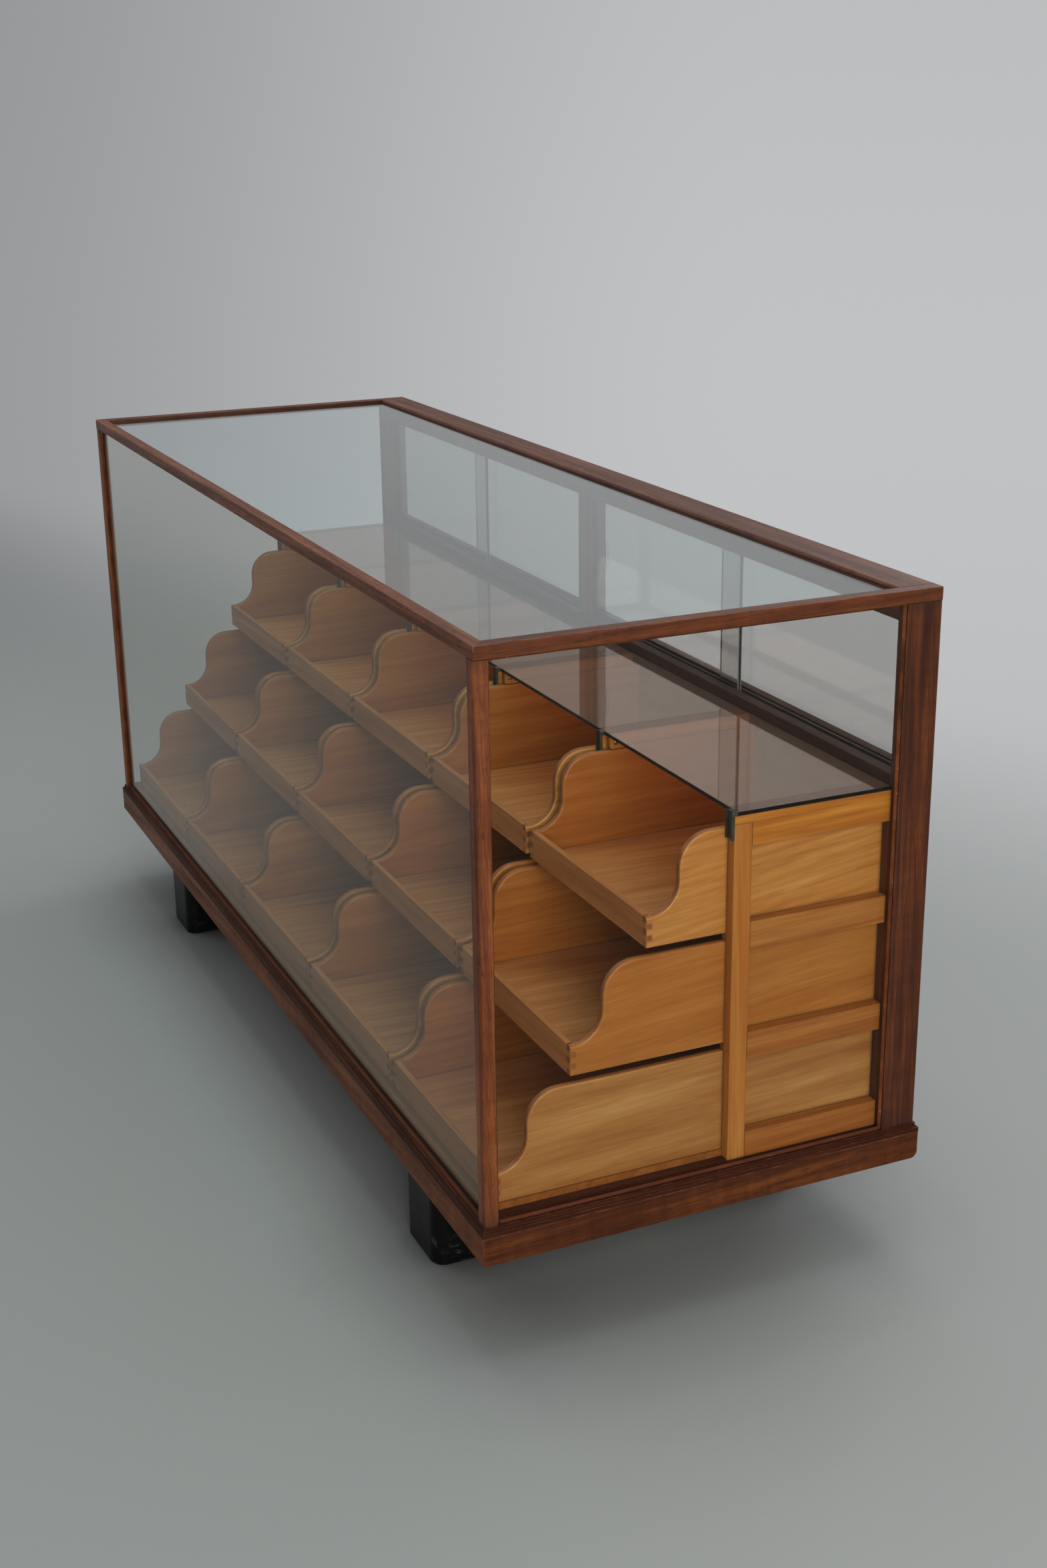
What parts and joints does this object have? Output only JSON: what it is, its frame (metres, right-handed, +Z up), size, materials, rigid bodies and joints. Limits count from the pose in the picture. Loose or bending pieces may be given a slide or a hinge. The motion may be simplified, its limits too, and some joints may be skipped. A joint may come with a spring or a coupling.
{
  "type": "haberdashery cabinet",
  "caption": "Glazed mahogany shop counter with stepped rows of scooped trays drawn out from the staff side, a glass shelf and sliding glass doors above, and block feet.",
  "frame": {"origin": "on the floor under the middle of the cabinet", "axes": "+Z up, +X along the counter to the customer's right, -Y towards the customer, +Y towards the staff side with drawer fronts and doors"},
  "size_m": [1.84, 0.626, 0.922],
  "materials": {
    "mahogany": "semi-gloss polished mahogany, worn paler at the edges",
    "tray_wood": "satin varnished honey-coloured hardwood",
    "carcass_wood": "satin varnished honey-coloured hardwood",
    "black_wood": "black satin paint",
    "clear_glass": "clear polished sheet glass",
    "shelf_glass": "clear plate glass with dark polished edges",
    "putty": "old grey putty",
    "clip_metal": "dull dark metal",
    "screw_brass": "tarnished brass"
  },
  "bodies": {
    "cabinet": {"base_board": "carcass_wood", "base_moulding": "mahogany", "centre_post": "mahogany", "divider_rails": "carcass_wood", "door_head": "mahogany", "door_sill": "mahogany", "drawer_runners": "carcass_wood", "feet": "black_wood", "front_glass": "clear_glass", "front_stiles": "carcass_wood", "glazing_putty": "putty", "kicker_screws": "screw_brass", "left_glass": "clear_glass", "plinth_boards": "mahogany", "post_front_left": "mahogany", "post_front_right": "mahogany", "post_rear_left": "mahogany", "post_rear_right": "mahogany", "rear_stiles": "mahogany", "right_glass": "clear_glass", "shelf_clips": "clip_metal", "shelf_glass": "shelf_glass", "top_glass": "clear_glass", "top_rail_ends": "mahogany", "top_rail_front": "mahogany", "top_rail_rear": "mahogany"},
    "drawer_bottom_1": {"tray_bottom_1": "tray_wood", "drawer_front_bottom_1": "mahogany"},
    "drawer_bottom_2": {"tray_bottom_2": "tray_wood", "drawer_front_bottom_2": "mahogany"},
    "drawer_bottom_3": {"tray_bottom_3": "tray_wood", "drawer_front_bottom_3": "mahogany"},
    "drawer_bottom_4": {"tray_bottom_4": "tray_wood", "drawer_front_bottom_4": "mahogany"},
    "drawer_bottom_5": {"tray_bottom_5": "tray_wood", "drawer_front_bottom_5": "mahogany"},
    "drawer_middle_1": {"tray_middle_1": "tray_wood", "drawer_front_middle_1": "mahogany"},
    "drawer_middle_2": {"tray_middle_2": "tray_wood", "drawer_front_middle_2": "mahogany"},
    "drawer_middle_3": {"tray_middle_3": "tray_wood", "drawer_front_middle_3": "mahogany"},
    "drawer_middle_4": {"tray_middle_4": "tray_wood", "drawer_front_middle_4": "mahogany"},
    "drawer_middle_5": {"tray_middle_5": "tray_wood", "drawer_front_middle_5": "mahogany"},
    "drawer_top_1": {"tray_top_1": "tray_wood", "drawer_front_top_1": "mahogany"},
    "drawer_top_2": {"tray_top_2": "tray_wood", "drawer_front_top_2": "mahogany"},
    "drawer_top_3": {"tray_top_3": "tray_wood", "drawer_front_top_3": "mahogany"},
    "drawer_top_4": {"tray_top_4": "tray_wood", "drawer_front_top_4": "mahogany"},
    "drawer_top_5": {"tray_top_5": "tray_wood", "drawer_front_top_5": "mahogany"},
    "glass_door_left_inner": {"door_left_inner": "clear_glass"},
    "glass_door_left_outer": {"door_left_outer": "clear_glass"},
    "glass_door_right_inner": {"door_right_inner": "clear_glass"},
    "glass_door_right_outer": {"door_right_outer": "clear_glass"}
  },
  "joints": [
    {"name": "drawer_bottom_1_slide", "type": "slide", "parent": "cabinet", "child": "drawer_bottom_1", "axis": [0, 1, 0], "range_m": [0, 0.42]},
    {"name": "drawer_bottom_2_slide", "type": "slide", "parent": "cabinet", "child": "drawer_bottom_2", "axis": [0, 1, 0], "range_m": [0, 0.42]},
    {"name": "drawer_bottom_3_slide", "type": "slide", "parent": "cabinet", "child": "drawer_bottom_3", "axis": [0, 1, 0], "range_m": [0, 0.42]},
    {"name": "drawer_bottom_4_slide", "type": "slide", "parent": "cabinet", "child": "drawer_bottom_4", "axis": [0, 1, 0], "range_m": [0, 0.42]},
    {"name": "drawer_bottom_5_slide", "type": "slide", "parent": "cabinet", "child": "drawer_bottom_5", "axis": [0, 1, 0], "range_m": [0, 0.42]},
    {"name": "drawer_middle_1_slide", "type": "slide", "parent": "cabinet", "child": "drawer_middle_1", "axis": [0, 1, 0], "range_m": [0, 0.34]},
    {"name": "drawer_middle_2_slide", "type": "slide", "parent": "cabinet", "child": "drawer_middle_2", "axis": [0, 1, 0], "range_m": [0, 0.34]},
    {"name": "drawer_middle_3_slide", "type": "slide", "parent": "cabinet", "child": "drawer_middle_3", "axis": [0, 1, 0], "range_m": [0, 0.34]},
    {"name": "drawer_middle_4_slide", "type": "slide", "parent": "cabinet", "child": "drawer_middle_4", "axis": [0, 1, 0], "range_m": [0, 0.34]},
    {"name": "drawer_middle_5_slide", "type": "slide", "parent": "cabinet", "child": "drawer_middle_5", "axis": [0, 1, 0], "range_m": [0, 0.34]},
    {"name": "drawer_top_1_slide", "type": "slide", "parent": "cabinet", "child": "drawer_top_1", "axis": [0, 1, 0], "range_m": [0, 0.25]},
    {"name": "drawer_top_2_slide", "type": "slide", "parent": "cabinet", "child": "drawer_top_2", "axis": [0, 1, 0], "range_m": [0, 0.25]},
    {"name": "drawer_top_3_slide", "type": "slide", "parent": "cabinet", "child": "drawer_top_3", "axis": [0, 1, 0], "range_m": [0, 0.25]},
    {"name": "drawer_top_4_slide", "type": "slide", "parent": "cabinet", "child": "drawer_top_4", "axis": [0, 1, 0], "range_m": [0, 0.25]},
    {"name": "drawer_top_5_slide", "type": "slide", "parent": "cabinet", "child": "drawer_top_5", "axis": [0, 1, 0], "range_m": [0, 0.25]},
    {"name": "door_left_inner_slide", "type": "slide", "parent": "cabinet", "child": "glass_door_left_inner", "axis": [1, 0, 0], "range_m": [0, 0.405]},
    {"name": "door_left_outer_slide", "type": "slide", "parent": "cabinet", "child": "glass_door_left_outer", "axis": [1, 0, 0], "range_m": [-0.405, 0]},
    {"name": "door_right_inner_slide", "type": "slide", "parent": "cabinet", "child": "glass_door_right_inner", "axis": [1, 0, 0], "range_m": [0, 0.405]},
    {"name": "door_right_outer_slide", "type": "slide", "parent": "cabinet", "child": "glass_door_right_outer", "axis": [1, 0, 0], "range_m": [-0.405, 0]}
  ]
}
